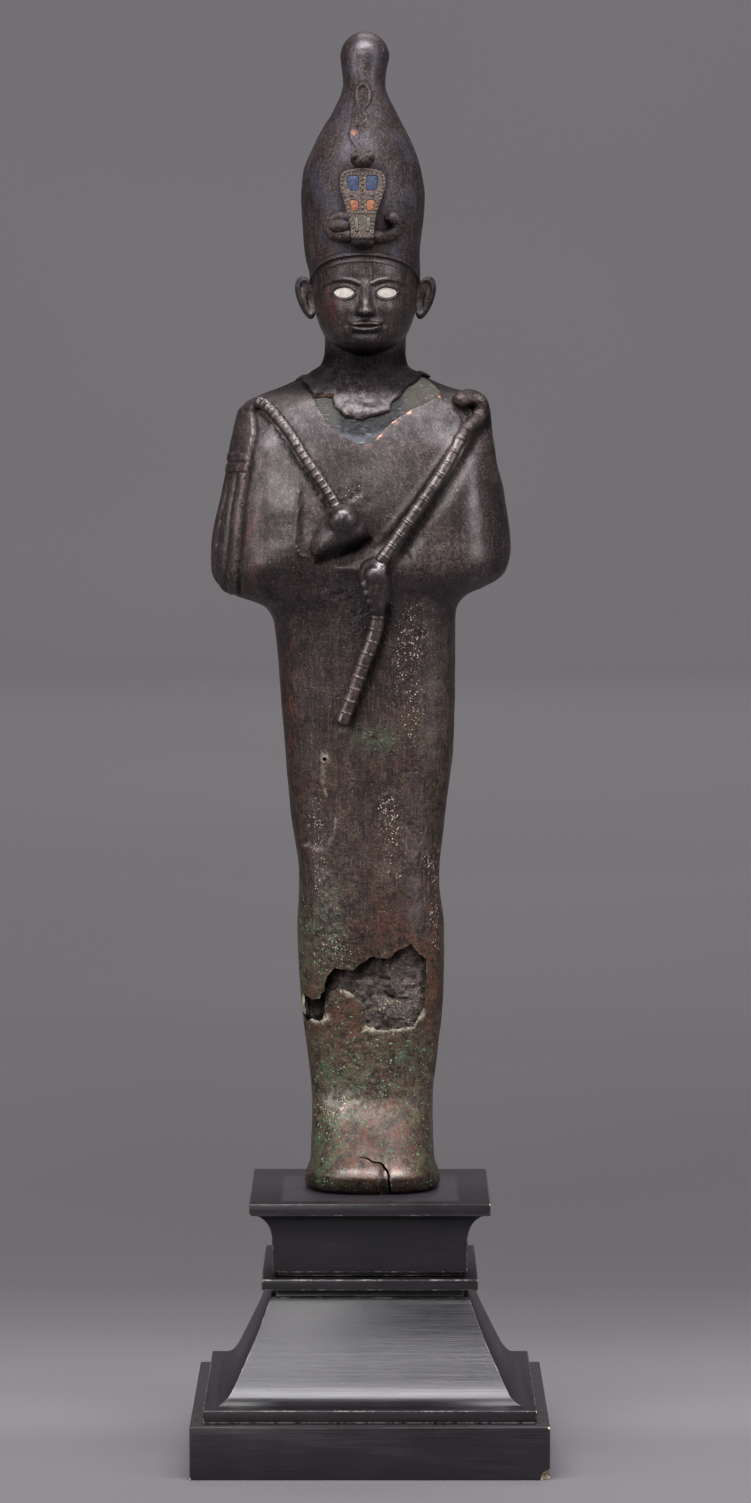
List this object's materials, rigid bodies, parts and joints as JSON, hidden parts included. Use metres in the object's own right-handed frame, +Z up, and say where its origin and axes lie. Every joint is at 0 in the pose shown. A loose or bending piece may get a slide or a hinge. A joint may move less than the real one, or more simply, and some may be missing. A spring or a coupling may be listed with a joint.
{
  "type": "bronze osiris figure",
  "caption": "Standing shrouded bronze god with tall crown, crook and flail, inlaid eyes and cobra hood, a broken shin that shows its core, on a stepped black wooden plinth.",
  "frame": {"origin": "on the floor under the middle of the plinth's bottom slab", "axes": "+Z up along the figure, the figure faces -Y, +X to the right in the picture"},
  "size_m": [0.12, 0.12, 0.4835],
  "materials": {
    "bronze": "dark brown to black patina with a low sheen, reddish and green patches, worn copper-coloured edges",
    "core": "matte grey sandy casting core",
    "filler": "smooth olive grey repair filler",
    "eye_white": "off-white inlay with fine dark specks",
    "blue_inlay": "opaque blue inlay, slightly worn",
    "orange_inlay": "opaque orange inlay, worn",
    "pale_inlay": "pale grey-green inlay, worn",
    "plinth_paint": "black painted wood with a low sheen, fine brush lines and rubbed edges"
  },
  "bodies": {
    "root": {"osiris_figure": "bronze", "casting_core": "core", "neck_repair_fill": "filler", "eye_inlay_left": "eye_white", "eye_inlay_right": "eye_white", "hood_inlay_blue_left": "blue_inlay", "hood_inlay_blue_right": "blue_inlay", "hood_inlay_orange_left": "orange_inlay", "hood_inlay_orange_right": "orange_inlay", "hood_inlay_pale_left": "pale_inlay", "hood_inlay_pale_right": "pale_inlay", "plinth_slab": "plinth_paint", "plinth_pyramid": "plinth_paint", "plinth_plate": "plinth_paint", "plinth_cap_block": "plinth_paint"}
  },
  "joints": []
}
